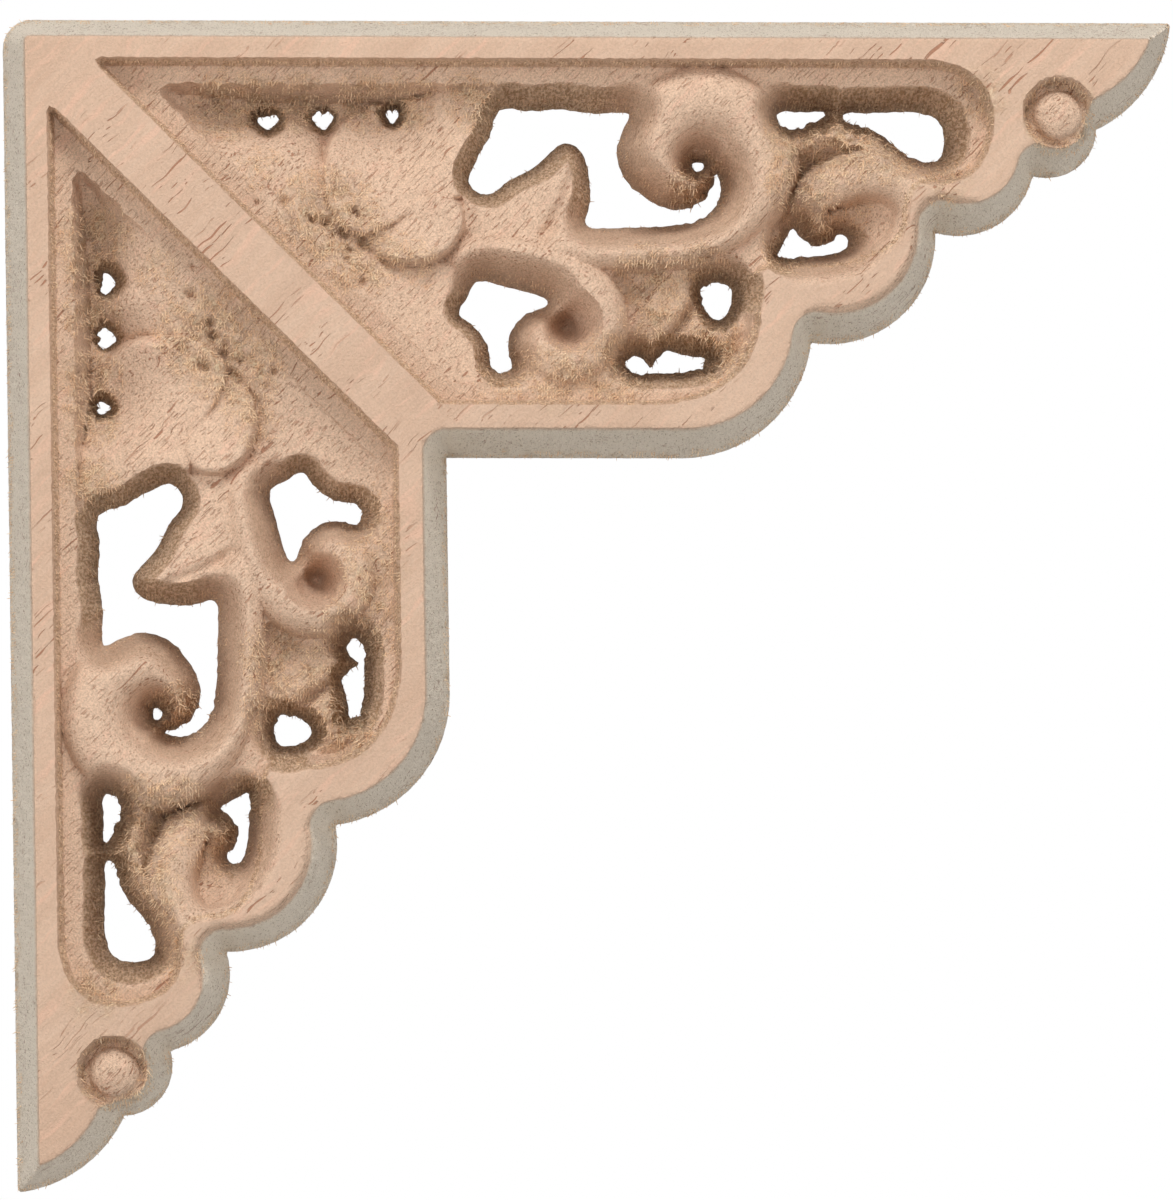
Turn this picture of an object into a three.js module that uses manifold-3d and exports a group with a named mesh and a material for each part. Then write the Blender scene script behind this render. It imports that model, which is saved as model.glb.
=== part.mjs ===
// Wooden corner onlay: two pierced arms at a right angle, carved on the front and flat on the back.
// Millimetres. The carving is laid out flat, as on a bench: x runs along the upper arm from the outer
// corner, v runs down the other arm, and z is the height above the flat back. The last step stands it up.
import * as THREE from 'three';
import { mergeVertices } from 'three/addons/utils/BufferGeometryUtils.js';
import Module from 'manifold-3d';

const wasm = await Module();
wasm.setup();

// Driving dimensions
const ARM_LENGTH = 80;
const ARM_WIDTH = 30;
const THICKNESS = 8;
const DRAFT = 0.225; // how far a cut wall spreads for each millimetre of depth
const LEAN = 0.0142; // the lower arm stands this much off square
const BASE_CORNER_RADIUS = 2;

const STRIP_WIDTH = 1.4; // raised strip along the outer edges, at the front
const INNER_STRIP_WIDTH = 1.55; // raised strip along the inner edges
const STEP_DEPTH = 2; // from the strip down to the ledge inside it
const BAR_HALF_WIDTH = 2; // diagonal bar between the two flowers
const LEDGE_LEVEL = THICKNESS - STEP_DEPTH;

const SCROLL_HALF_WIDTH = 1.5;
const SCROLL_CROWN = 1.5; // how far the round top of a scroll stands over its sides
const STEM_LEVEL = 7.6;

const ORIGIN_ALONG = 16; // the mount lies on the back of the bar, this far in from both outer edges

const SPREAD = DRAFT * THICKNESS;
const SMOOTH_PIECES = 2; // straight pieces between two points of a drawn curve

// The scalloped edge, from the inner corner out to the tip: centre along, centre across, radius at the back
const LOBES = [
  [46.1, 20.9, 9.1],
  [56.35, 14.7, 7.45],
  [65.3, 9.3, 5.4],
  [71.5, 7.2, 3.5],
  [71.0, -1.0, 9.3],
];
// Wood that the round edges enclose
const FIELD = [[30, 5], [71, 5], [71, 8], [65, 10], [56, 16], [46, 24], [30, 24]];
const BAND_END = 72;
const BAND_DEPTH = 6;
const BOSS = { along: 71.7, across: 6.85, radius: 1.5, crown: 0.9, groove: 2.45, grooveDepth: 2.2 };

// Outlines are drawn for the upper arm as [along, across]; the other arm repeats them across the bar.
const BAR_OFFSET = BAR_HALF_WIDTH * Math.SQRT2;
const STRIP_EDGE = SPREAD + STRIP_WIDTH;
const INNER_STRIP_EDGE = ARM_WIDTH - SPREAD - INNER_STRIP_WIDTH;
const PANEL = [
  [STRIP_EDGE + BAR_OFFSET, STRIP_EDGE], [63.4, STRIP_EDGE],
  [65.4, 3.7], [66.9, 5.3], [67.3, 7.4], [66.7, 10], [65.6, 11.5], [64.2, 12.1],
  [62.8, 12.9], [61.9, 15.4], [59.8, 17], [56.5, 17.6], [52.8, 17.5],
  [50.7, 18.4], [51.1, 21.4], [50, 23.9], [47.8, 25.7],
  [44.4, INNER_STRIP_EDGE], [INNER_STRIP_EDGE + BAR_OFFSET, INNER_STRIP_EDGE],
];

// Openings through the board, as they are at the flat back
const OPENINGS = {
  leftOfLeafTip: [
    [33.6, 6.3], [36, 6.2], [38.6, 6.2], [38.5, 8.2], [37.4, 9], [36.2, 10.5], [34, 11.3], [32.2, 12.3],
    [31.3, 11.6], [32.6, 9.2],
  ],
  rightOfLeafTip: [
    [37.6, 6.2], [41, 6.3], [42.7, 6.5], [42.1, 8], [41.9, 10], [42.9, 11.7], [44.6, 12.7], [46.6, 13.1],
    [47.8, 12.6], [48.3, 11.8], [48.1, 12.9], [47, 13.5], [44.5, 13.9], [41.5, 14.1], [39.7, 13.9],
    [39.9, 12.2], [39.8, 10.4], [39.1, 8.9], [37.9, 8.3],
  ],
  besideSmallScroll: [
    [32, 18], [34, 18.2], [36, 18.7], [37.2, 19.3], [36.4, 19.6], [35.2, 20.3], [34.4, 21.4],
    [34.4, 23.2], [34, 24.1], [33.3, 23.7], [32.8, 22], [31.9, 20.9], [31, 20.1], [31.5, 19.1],
  ],
  underEndBand: [
    [57.5, 6.5], [59.5, 6.3], [62.6, 6.4], [63.9, 6.9], [64.4, 8.2], [64, 9.4], [62.9, 9.3],
    [61.7, 8.8], [60.5, 7.7], [59.2, 7.2], [57.9, 7.1],
  ],
  belowThirdScroll: [
    [53.8, 14.3], [54.4, 15], [55.3, 15.5], [56.7, 15], [57.3, 15.5], [56.6, 16], [54.6, 16.15],
    [53, 16.1], [53.3, 15.1],
  ],
  rightOfStarLeaf: [[47.8, 18.2], [49.6, 18.2], [49.6, 19.4], [48.6, 20.1], [47.7, 19.4]],
  underStarLeaf: [[44.4, 23.3], [46, 23.1], [47.6, 23.4], [46.8, 23.9], [44.6, 24]],
  besideTornLeaf: [[53.3, 6.4], [55.2, 6.4], [54.3, 7.1], [53.7, 7.1]],
};

// Round pits along the band, where the cutter was plunged: along, across, radius at the front and back
const PITS = [[18.1, 6.8, 1.5, 0.45], [21.9, 6.7, 1.5, 0.5], [26.7, 6.5, 1.35, 0.4]];
const STAMEN_PITS = [
  [19.2, 13.1], [21.1, 14.3], [22.1, 14.5], [23.9, 13.8],
  [23, 15.3], [24.9, 15.1], [23.5, 16.4], [24.4, 18.4],
];
const STAMEN_PIT = { radius: 0.5, depth: 1.1 };

// Raised leaves and petals: outline, and the level of the top
const PETALS = {
  leftPetal: {
    level: 7,
    outline: [[12.6, 6.3], [17, 6.4], [22.6, 7.2], [22.2, 12.8], [20.6, 15.6], [18, 12.6]],
  },
  bigPetal: {
    level: 7.5,
    outline: [
      [22.3, 12.9], [22, 9.8], [23, 7.4], [26.7, 5.6], [33, 5.2], [32.9, 8.2], [31.6, 10.7], [30.6, 12.4],
      [27.2, 14.2], [24, 14.6],
    ],
  },
  smallPetal: {
    level: 7.7,
    outline: [[26.6, 12.9], [29.4, 12.2], [31, 13.4], [31, 15.1], [29.6, 16.5], [26.9, 16.7], [25, 15.6]],
  },
  lowPetal: {
    level: 6.9,
    outline: [
      [24.4, 16.8], [27, 16.4], [31.2, 16.8], [32, 17.6], [31, 19.6], [32.4, 21.4], [34, 24.6], [30.6, 25.2],
      [26.9, 21.3], [23.3, 18.4],
    ],
  },
  leaf: {
    level: 7.3,
    outline: [
      [37.9, 8.6], [38.9, 9.8], [39.4, 12], [39.2, 15], [36.6, 17.4], [31.6, 17.4], [30.8, 15.5], [31, 12.8],
      [33.4, 11.9], [36.2, 10.8],
    ],
  },
  tornLeaf: {
    level: 6.9,
    outline: [
      [53, 8.2], [54.4, 7.4], [56.8, 6.8], [58.2, 7.2], [60.4, 8], [62.2, 9.6], [62.4, 11.4], [58.8, 10.8],
      [56, 11.4], [53.6, 12.6], [52.4, 10.6],
    ],
  },
};
const DISHES = [
  { along: 27.4, across: 9.8, radiusAlong: 4.6, radiusAcross: 3.6, top: 7.5, depth: 1.1 },
  { along: 28.3, across: 14.5, radiusAlong: 2.1, radiusAcross: 1.6, top: 7.7, depth: 0.5 },
  { along: 17, across: 8.6, radiusAlong: 3, radiusAcross: 2, top: 7, depth: 0.6 },
];
const LEAF_CREASE = {
  path: [[38.4, 10], [37.6, 12.4], [36.4, 14.6], [35.9, 15.6]],
  level: PETALS.leaf.level, halfWidth: 0.8, depth: 1.5,
};

// Ridge lines of the scrolls
const BIG_SCROLL = [
  [34.6, 15.9], [39.4, 15.9], [43.4, 15.7], [46.8, 15.2], [49.6, 13.8], [51.3, 11.7], [51.8, 9.6],
  [51.1, 7.6], [49.6, 6.3], [47.6, 5.7], [45.6, 6.2], [44.2, 7.6], [43.7, 9.4], [44.2, 11], [45.4, 12],
  [46.9, 12.2], [48, 11.7],
];
const SMALL_SCROLL = [
  [31.8, 16.6], [35, 16.8], [38, 17.6], [39.9, 19.1], [40.5, 21], [39.9, 22.9], [38.3, 23.8], [36.7, 23.3],
  [36.1, 21.8], [36.7, 20.5],
];
const THIRD_SCROLL = [
  [54.6, 14.3], [54.5, 12.8], [55.8, 11.4], [58.1, 10.9], [60.4, 11.5], [61.8, 13.2], [61.7, 15.6],
  [59.9, 17.2],
];
const STAR_HOLLOW = {
  level: 3.4,
  outline: [
    [41.6, 17.6], [44.6, 17.3], [48, 17.2], [50.4, 17.6], [50.2, 19.6], [50.5, 21.6], [48.8, 23.9],
    [46, 24.4], [43, 24.4], [41.7, 22.4],
  ],
};
const STAR_LEAF = {
  level: 5,
  outline: [
    [42.5, 18.8], [44.6, 17.5], [46.8, 17.9], [47.3, 19.4], [48.4, 21], [49, 22.2], [47.9, 23], [46.4, 22.3],
    [44.6, 22.2], [43.4, 22.8], [42.5, 21.6], [43.1, 20.2],
  ],
};
const STAR_CREASE = {
  path: [[47.5, 19.3], [46.4, 20.5], [45.6, 21.7], [45, 23]],
  level: STAR_LEAF.level, halfWidth: 0.7, depth: 1.5,
};
// Deep eyes in the middle of the scrolls: along, across, radius at the front and at the bottom, bottom level
const EYES = [[47.6, 9.3, 1.9, 0.9, 1.6], [38.3, 21, 1.35, 0.5, 2.2]];
const THIRD_HOLLOW = {
  level: 4.6,
  outline: [[57.4, 12.6], [59.4, 12.4], [60.6, 13.6], [60.4, 15.2], [59, 16.4], [57.2, 16.2], [56.6, 14.4]],
};

function solidOf(geometry) {
  const bare = geometry.index ? geometry.toNonIndexed() : geometry.clone();
  bare.deleteAttribute('normal');
  bare.deleteAttribute('uv');
  const welded = mergeVertices(bare, 1e-5);
  const mesh = new wasm.Mesh({
    numProp: 3,
    vertProperties: new Float32Array(welded.attributes.position.array),
    triVerts: new Uint32Array(welded.index.array),
  });
  mesh.merge();
  return new wasm.Manifold(mesh);
}

const join = (solids) => solids.reduce((sum, next) => sum.add(next));

// Cuts can free a crumb of wood; the piece is the largest body.
const mainBody = (solid) => solid.decompose().sort((a, b) => b.volume() - a.volume())[0];

const flat = (points) => points.map(([along, across]) => new THREE.Vector2(along, -across));

function smoothed(points) {
  const curve = new THREE.CatmullRomCurve3(
    points.map(([along, across]) => new THREE.Vector3(along, -across, 0)), true, 'centripetal');
  const count = points.length * SMOOTH_PIECES;
  return curve.getPoints(count).slice(0, count).map((p) => new THREE.Vector2(p.x, p.y));
}

function prism(outline, low, high) {
  const settings = { depth: high - low, bevelEnabled: false };
  const geometry = new THREE.ExtrudeGeometry(new THREE.Shape(outline), settings);
  return solidOf(geometry.translate(0, 0, low));
}

// A body with drafted walls: the outline is the small end, and the wall spreads away from it.
function drafted(outline, smallLevel, bigLevel) {
  const height = Math.abs(bigLevel - smallLevel);
  const geometry = new THREE.ExtrudeGeometry(new THREE.Shape(outline), {
    depth: 1, bevelThickness: height, bevelSize: DRAFT * height, bevelSegments: 1,
  });
  const doubled = solidOf(geometry);
  const reach = 2 * ARM_LENGTH;
  const cutter = solidOf(new THREE.BoxGeometry(2 * reach, 2 * reach, reach).translate(0, 0, reach / 2));
  const half = doubled.subtract(cutter).translate([0, 0, height]);
  if (smallLevel < bigLevel) return half.translate([0, 0, smallLevel]);
  return turnedOver(half, height).translate([0, 0, bigLevel]);
}

function mapped(solid, move, flips) {
  const mesh = solid.getMesh();
  const places = new Float32Array(mesh.vertProperties);
  for (let i = 0; i < places.length; i += 3) {
    const [x, y, z] = move(places[i], places[i + 1], places[i + 2]);
    places[i] = x;
    places[i + 1] = y;
    places[i + 2] = z;
  }
  const corners = new Uint32Array(mesh.triVerts);
  if (flips) {
    for (let i = 0; i < corners.length; i += 3) {
      const held = corners[i];
      corners[i] = corners[i + 1];
      corners[i + 1] = held;
    }
  }
  return new wasm.Manifold(new wasm.Mesh({ numProp: 3, vertProperties: places, triVerts: corners }));
}

const turnedOver = (solid, height) => mapped(solid, (x, y, z) => [x, y, height - z], true);
const acrossTheBar = (solid) => mapped(solid, (x, y, z) => [-y, -x, z], true);

function cone(along, across, frontRadius, backRadius, low, high, sides) {
  const geometry = new THREE.CylinderGeometry(frontRadius, backRadius, high - low, sides);
  geometry.rotateX(Math.PI / 2).translate(along, -across, (low + high) / 2);
  return solidOf(geometry);
}

function lobe([along, across, radius]) {
  const sides = radius > 6 ? 40 : 28;
  return cone(along, across, radius - SPREAD, radius, 0, THICKNESS, sides);
}

// Half-round moulding that follows a ridge line, with drafted sides below the round
function moulding(ridge, crownLevel, halfWidth, crown, steps) {
  const path = new THREE.CatmullRomCurve3(
    ridge.map(([along, across]) => new THREE.Vector3(along, -across, 0)), false, 'centripetal');
  const shoulder = crownLevel - crown;
  const foot = halfWidth + DRAFT * shoulder;
  const section = [new THREE.Vector2(0, foot)];
  const facets = 5;
  for (let i = 0; i <= facets; i += 1) {
    const turn = (Math.PI * i) / facets;
    section.push(new THREE.Vector2(-(shoulder + crown * Math.sin(turn)), halfWidth * Math.cos(turn)));
  }
  section.push(new THREE.Vector2(0, -foot));
  const geometry = new THREE.ExtrudeGeometry(new THREE.Shape(section), { steps, extrudePath: path });
  return solidOf(geometry);
}

function bowl({ along, across, radiusAlong, radiusAcross, top, depth }) {
  const geometry = new THREE.SphereGeometry(1, 14, 12);
  geometry.scale(radiusAlong, radiusAcross, 2 * depth).translate(along, -across, top + depth);
  return solidOf(geometry);
}

function crease({ path, level, halfWidth, depth }) {
  const curve = new THREE.CatmullRomCurve3(
    path.map(([along, across]) => new THREE.Vector3(along, -across, 0)), false, 'centripetal');
  const top = THICKNESS + 0.5;
  const bottom = level - depth;
  const section = [
    new THREE.Vector2(-bottom, 0), new THREE.Vector2(-top, halfWidth), new THREE.Vector2(-top, -halfWidth),
  ];
  return solidOf(new THREE.ExtrudeGeometry(new THREE.Shape(section), { steps: 6, extrudePath: curve }));
}

function envelope() {
  const low = SPREAD;
  const high = ARM_LENGTH + 4;
  const radius = BASE_CORNER_RADIUS - SPREAD + 0.1;
  const shape = new THREE.Shape();
  shape.moveTo(high, -low);
  shape.lineTo(low + radius, -low);
  shape.absarc(low + radius, -low - radius, radius, Math.PI / 2, Math.PI, false);
  shape.lineTo(low, -high);
  shape.lineTo(high, -high);
  const outline = shape.getPoints(3);
  return drafted(outline, THICKNESS, 0);
}

function armBoard() {
  const length = LOBES[0][0];
  const low = SPREAD;
  const beam = drafted(flat([
    [low, low], [length, low], [length, ARM_WIDTH - SPREAD], [low, ARM_WIDTH - SPREAD],
  ]), THICKNESS, 0);
  const band = drafted(flat([
    [low, low], [BAND_END, low], [BAND_END, BAND_DEPTH], [low, BAND_DEPTH],
  ]), THICKNESS, 0);
  const field = prism(flat(FIELD), 0, THICKNESS);
  return join([beam, band, field, ...LOBES.map(lobe)]);
}

function armCarving(board) {
  const panel = drafted(flat(PANEL), LEDGE_LEVEL, THICKNESS + 1);
  let arm = board.subtract(panel);
  arm = arm.subtract(drafted(smoothed(STAR_HOLLOW.outline), STAR_HOLLOW.level, THICKNESS));
  const raised = Object.values(PETALS).map(({ level, outline }) => drafted(smoothed(outline), level, 0));
  let petals = join(raised);
  for (const dish of DISHES) petals = petals.subtract(bowl(dish));
  petals = petals.subtract(crease(LEAF_CREASE));
  const scrolls = [
    moulding(BIG_SCROLL, STEM_LEVEL, SCROLL_HALF_WIDTH, SCROLL_CROWN, 40),
    moulding(SMALL_SCROLL, STEM_LEVEL, SCROLL_HALF_WIDTH * 0.8, SCROLL_CROWN, 26),
    moulding(THIRD_SCROLL, THICKNESS - 0.05, SCROLL_HALF_WIDTH * 0.8, SCROLL_CROWN, 20),
  ];
  const star = drafted(smoothed(STAR_LEAF.outline), STAR_LEAF.level, 0).subtract(crease(STAR_CREASE));
  arm = join([arm, petals, ...scrolls, star]);
  return arm.subtract(drafted(smoothed(THIRD_HOLLOW.outline), THIRD_HOLLOW.level, THICKNESS + 1));
}

function armCuts() {
  const past = 0.5;
  const openings = Object.values(OPENINGS).map((outline) => (
    drafted(smoothed(outline), -past, THICKNESS + past)));
  const pits = PITS.map(([along, across, front, back]) => (
    cone(along, across, front, back, -0.1, THICKNESS + 0.1, 12)));
  const stamens = STAMEN_PITS.map(([along, across]) => (
    cone(along, across, STAMEN_PIT.radius, 0.15, LEDGE_LEVEL - STAMEN_PIT.depth + 0.6, THICKNESS, 6)));
  const { along, across, radius, crown, groove, grooveDepth } = BOSS;
  const floor = THICKNESS - grooveDepth;
  const disc = cone(along, across, groove, groove - DRAFT * grooveDepth, floor, THICKNESS + 0.2, 20);
  const core = cone(along, across, radius, radius + DRAFT * grooveDepth, floor - 0.1, THICKNESS - crown, 16);
  const dome = new THREE.SphereGeometry(radius, 16, 8).scale(1, 1, crown / radius);
  dome.translate(along, -across, THICKNESS - crown);
  const ring = disc.subtract(core).subtract(solidOf(dome));
  const eyes = EYES.map(([x, v, front, back, bottom]) => cone(x, v, front, back, bottom, THICKNESS, 14));
  return join([...openings, ...pits, ...stamens, ...eyes, ring]);
}

// Each arm carries its own side of the bar, so the two halves meet along the middle of the bar.
function onlay() {
  const arm = armCarving(armBoard().intersect(envelope())).subtract(armCuts());
  const reach = 2 * ARM_LENGTH;
  const upperSide = prism(flat([[0, 0], [reach, reach], [reach, -reach], [-reach, -reach]]), 0, THICKNESS);
  const upper = arm.intersect(upperSide);
  return mainBody(upper.add(acrossTheBar(upper)));
}

function standUp(solid) {
  const mesh = solid.getMesh();
  const geometry = new THREE.BufferGeometry();
  geometry.setAttribute('position', new THREE.BufferAttribute(new Float32Array(mesh.vertProperties), 3));
  geometry.setIndex(new THREE.BufferAttribute(new Uint32Array(mesh.triVerts), 1));
  const shear = new THREE.Matrix4().set(
    1, -LEAN, 0, 0,
    0, 1, 0, 0,
    0, 0, 1, 0,
    0, 0, 0, 1);
  geometry.applyMatrix4(shear);
  geometry.translate(-ORIGIN_ALONG - LEAN * ORIGIN_ALONG, ORIGIN_ALONG, 0);
  geometry.rotateX(Math.PI / 2);
  return geometry;
}

const wood = new THREE.MeshStandardMaterial({ color: 0xd9bfa6, roughness: 0.75, metalness: 0 });
const group = new THREE.Group();
const piece = new THREE.Mesh(standUp(onlay()), wood);
piece.name = 'corner_onlay';
group.add(piece);

export default group;
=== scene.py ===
# %% [markdown]
# # A carved corner onlay, in cells
# The object is a small corner ornament cut from one board: two arms at a right angle, a bar
# across the corner, flowers, leaves and scrolls inside the arms, openings right through the
# board and a flat back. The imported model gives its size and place. Here it is carved again as
# one fine mesh, its torn fibres are added, and it gets wood, light and a camera.
# Everything is in metres in the row frame: +X along the upper arm, +Z up, the front facing -Y.

# %% Load the frame
import math
import bmesh
import bpy
import numpy as np
from mathutils import Matrix, Vector
from mathutils.geometry import delaunay_2d_cdt


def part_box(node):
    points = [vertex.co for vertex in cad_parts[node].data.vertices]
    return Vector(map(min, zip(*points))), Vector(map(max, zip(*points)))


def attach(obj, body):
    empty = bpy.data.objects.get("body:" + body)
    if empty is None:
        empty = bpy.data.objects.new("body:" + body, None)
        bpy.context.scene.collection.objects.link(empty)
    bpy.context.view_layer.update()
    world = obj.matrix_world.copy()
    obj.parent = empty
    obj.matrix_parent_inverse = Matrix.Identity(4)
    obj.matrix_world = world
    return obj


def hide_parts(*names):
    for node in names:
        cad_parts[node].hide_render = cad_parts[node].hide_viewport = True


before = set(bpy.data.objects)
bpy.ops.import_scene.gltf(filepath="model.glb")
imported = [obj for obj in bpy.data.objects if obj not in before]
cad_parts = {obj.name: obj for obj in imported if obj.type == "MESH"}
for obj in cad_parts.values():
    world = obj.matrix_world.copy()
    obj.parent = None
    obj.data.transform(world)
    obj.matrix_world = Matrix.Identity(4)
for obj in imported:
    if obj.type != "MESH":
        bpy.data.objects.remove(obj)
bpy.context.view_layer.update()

# %% [markdown]
# ## Measures
# The carving is laid out as on a bench, in millimetres: x runs along the upper arm from the
# outer corner, y runs down the other arm, and z is the height above the flat back. A cutter
# with a slightly tapered bit made every wall, so a wall spreads a little towards the back.

# %% Driving sizes, in millimetres
MM = 0.001
low_corner, high_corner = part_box("corner_onlay")
THICKNESS = (high_corner.y - low_corner.y) / MM
ARM_WIDTH = 30.0
ORIGIN_ALONG = high_corner.z / MM
LEAN = 0.0142
DRAFT = 0.225
SPREAD = DRAFT * THICKNESS
BASE_CORNER_RADIUS = 2.0
STRIP_WIDTH = 1.4
INNER_STRIP_WIDTH = 1.55
STEP_DEPTH = 2.0
BAR_HALF_WIDTH = 2.0
BAR_LEDGE_HALF_WIDTH = 3.65
LEDGE = THICKNESS - STEP_DEPTH
STRIP_EDGE = SPREAD + STRIP_WIDTH
INNER_STRIP_EDGE = ARM_WIDTH - SPREAD - INNER_STRIP_WIDTH
CELL = 0.2
FAR = 50.0
print("board", round(THICKNESS, 2), "mm thick, mount", round(ORIGIN_ALONG, 2), "mm in")

# %% [markdown]
# ## Curves and distances
# Every form is drawn by a few points on the board. A smooth loop runs through them, and the
# distance to that loop says how high the wood may stand: this is how a tapered cutter works,
# and it lets one rule carve every wall. Blender has no such operator, so numpy does the sums.

# %% Smooth loops and lines
def smooth_points(points, closed, pieces=5):
    """A smooth curve through the points, paced by the root of their distances."""
    p = np.array(points, float)
    if closed:
        p = np.vstack([p[-1], p, p[:2]])
    else:
        p = np.vstack([2 * p[0] - p[1], p, 2 * p[-1] - p[-2]])
    made = []
    for a, b, c, d in zip(p, p[1:], p[2:], p[3:]):
        gaps = [np.linalg.norm((n - m)[:2]) for m, n in ((a, b), (b, c), (c, d))]
        k1, k2, k3 = np.cumsum([max(gap, 1e-6) ** 0.5 for gap in gaps])
        for t in np.linspace(k1, k2, pieces, endpoint=False):
            u1 = a + (b - a) * t / k1
            u2 = b + (c - b) * (t - k1) / (k2 - k1)
            u3 = c + (d - c) * (t - k2) / (k3 - k2)
            v1 = u1 + (u2 - u1) * t / k2
            v2 = u2 + (u3 - u2) * (t - k1) / (k3 - k1)
            made.append(v1 + (v2 - v1) * (t - k1) / (k2 - k1))
    if not closed:
        made.append(p[-2])
    return np.array(made)


def beside_edge(ax, ay, bx, by, x, y):
    """Squared distance to a straight edge, and how far along it the nearest place lies."""
    ex, ey, wx, wy = bx - ax, by - ay, x - ax, y - ay
    share = np.clip((wx * ex + wy * ey) / (ex * ex + ey * ey + 1e-12), 0, 1)
    return (wx - ex * share) ** 2 + (wy - ey * share) ** 2, share


def inside_distance(loop, x, y, reach=4.0):
    """How far each point lies inside a closed loop; negative outside, and -FAR well away."""
    result = np.full(x.shape, -FAR)
    low, high = loop.min(0) - reach, loop.max(0) + reach
    near = (x > low[0]) & (x < high[0]) & (y > low[1]) & (y < high[1])
    px, py = x[near], y[near]
    best = np.full(px.shape, FAR * FAR)
    inside = np.zeros(px.shape, bool)
    for (ax, ay), (bx, by) in zip(loop, np.roll(loop, -1, axis=0)):
        best = np.minimum(best, beside_edge(ax, ay, bx, by, px, py)[0])
        crossed = (ay > py) != (by > py)
        if ay != by:
            inside ^= crossed & (px < ax + (bx - ax) * (py - ay) / (by - ay))
    result[near] = np.where(inside, 1, -1) * np.sqrt(best)
    return result


def beside_line(line, x, y):
    """Distance to an open line, and the line's other columns at the nearest place."""
    best = np.full(x.shape, FAR * FAR)
    values = np.zeros((line.shape[1] - 2,) + x.shape)
    for a, b in zip(line, line[1:]):
        gap, share = beside_edge(*a[:2], *b[:2], x, y)
        closer = gap < best
        best = np.where(closer, gap, best)
        for k in range(len(values)):
            values[k] = np.where(closer, a[k + 2] + (b[k + 2] - a[k + 2]) * share, values[k])
    return np.sqrt(best), values


SKIN_ROUNDING = 0.15


def draped(heights):
    """A skin stretched over named heights (x, y, z): it returns the function of that skin."""
    h = np.array(heights, float)
    gap = np.hypot(h[:, None, 0] - h[None, :, 0], h[:, None, 1] - h[None, :, 1])
    count = len(h)
    square = np.zeros((count + 3, count + 3))
    square[:count, :count] = gap
    square[:count, count] = 1
    square[:count, count + 1:] = h[:, :2]
    square[count, :count] = 1
    square[count + 1:, :count] = h[:, :2].T
    weights = np.linalg.solve(square, np.append(h[:, 2], [0, 0, 0]))

    def skin(x, y):
        total = weights[count] + weights[count + 1] * x + weights[count + 2] * y
        for (hx, hy, _), weight in zip(h, weights):
            total = total + weight * np.sqrt((x - hx) ** 2 + (y - hy) ** 2 + SKIN_ROUNDING)
        return total

    return skin


print("points in a loop of 3:", len(smooth_points([[0, 0], [1, 0], [1, 1]], True)))

# %% [markdown]
# ## Roughness of hand and tool
# Nothing here is quite straight: the cutter wandered, and the wood tore a little. A sum of a
# few waves with seeded directions makes a smooth, repeatable unevenness.

# %% Seeded unevenness
def unevenness(seed, size, waves=14):
    """A smooth random function of x, y, z with features of about the given size, in -1..1."""
    dice = np.random.default_rng(seed)
    directions = dice.normal(size=(waves, 3))
    directions /= np.linalg.norm(directions, axis=1)[:, None]
    pace = directions * (2 * math.pi / size) * dice.uniform(0.6, 1.7, waves)[:, None]
    phases = dice.uniform(0, 2 * math.pi, waves)

    def at(x, y, z=0.0):
        waving = sum(np.cos(a * x + b * y + c * z + p) for (a, b, c), p in zip(pace, phases))
        return waving / waves ** 0.5 / 1.2

    return at


wander = unevenness(11, 1.5)
ragged = unevenness(13, 0.75, 22)
print("wander at the corner:", round(float(wander(0.0, 0.0)), 3))

# %% [markdown]
# ## The board's outline
# The outer edges are straight. The inner edge is scalloped: round lobes meet in cusps, then a
# small lobe carries the boss and a hollow foot runs out to the tip. The lobes are circles, so
# the outline is a chain of arcs that ends where two circles meet.

# %% Outline at the flat back
LOBES = [(46.1, 20.9, 9.1), (56.35, 14.7, 7.45), (65.3, 9.3, 5.4), (71.5, 7.2, 3.5), (71.0, -1.0, 9.27)]


def circles_meet(first, second):
    """The outer one of the two points where two circles cross."""
    (ax, ay, ar), (bx, by, br) = first, second
    gap = math.hypot(bx - ax, by - ay)
    along = (ar * ar - br * br + gap * gap) / (2 * gap)
    side = math.sqrt(max(ar * ar - along * along, 0))
    ux, uy = (bx - ax) / gap, (by - ay) / gap
    options = [(ax + ux * along - s * uy * side, ay + uy * along + s * ux * side) for s in (-1, 1)]
    return max(options, key=lambda p: p[0] + p[1])


def arc(centre, start, end, steps):
    """Points on a circle from one of its points to another, turning back towards the band."""
    cx, cy, radius = centre
    a = math.atan2(start[1] - cy, start[0] - cx)
    b = math.atan2(end[1] - cy, end[0] - cx)
    return [(cx + radius * math.cos(t), cy + radius * math.sin(t)) for t in np.linspace(a, b, steps)]


def board_outline():
    r = BASE_CORNER_RADIUS
    far = ARM_WIDTH * 3
    points = [(0, far)]
    points += [(r - r * math.cos(t), r - r * math.sin(t)) for t in np.linspace(0, math.pi / 2, 9)]
    foot = LOBES[-1]
    tip = (foot[0] + math.sqrt(foot[2] ** 2 - foot[1] ** 2), 0)
    start = tip
    chain = [tip]
    for lobe, previous in zip(reversed(LOBES), reversed([(LOBES[0][0], ARM_WIDTH)] + LOBES[:-1])):
        end = circles_meet(previous, lobe) if len(previous) == 3 else previous
        chain += arc(lobe, start, end, 24)[1:]
        start = end
    return np.array(points + chain + [(ARM_WIDTH, ARM_WIDTH), (ARM_WIDTH, far)])


OUTLINE = board_outline()
print("outline of", len(OUTLINE), "points, tip at", OUTLINE[:, 0].max().round(2), "mm")

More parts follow.
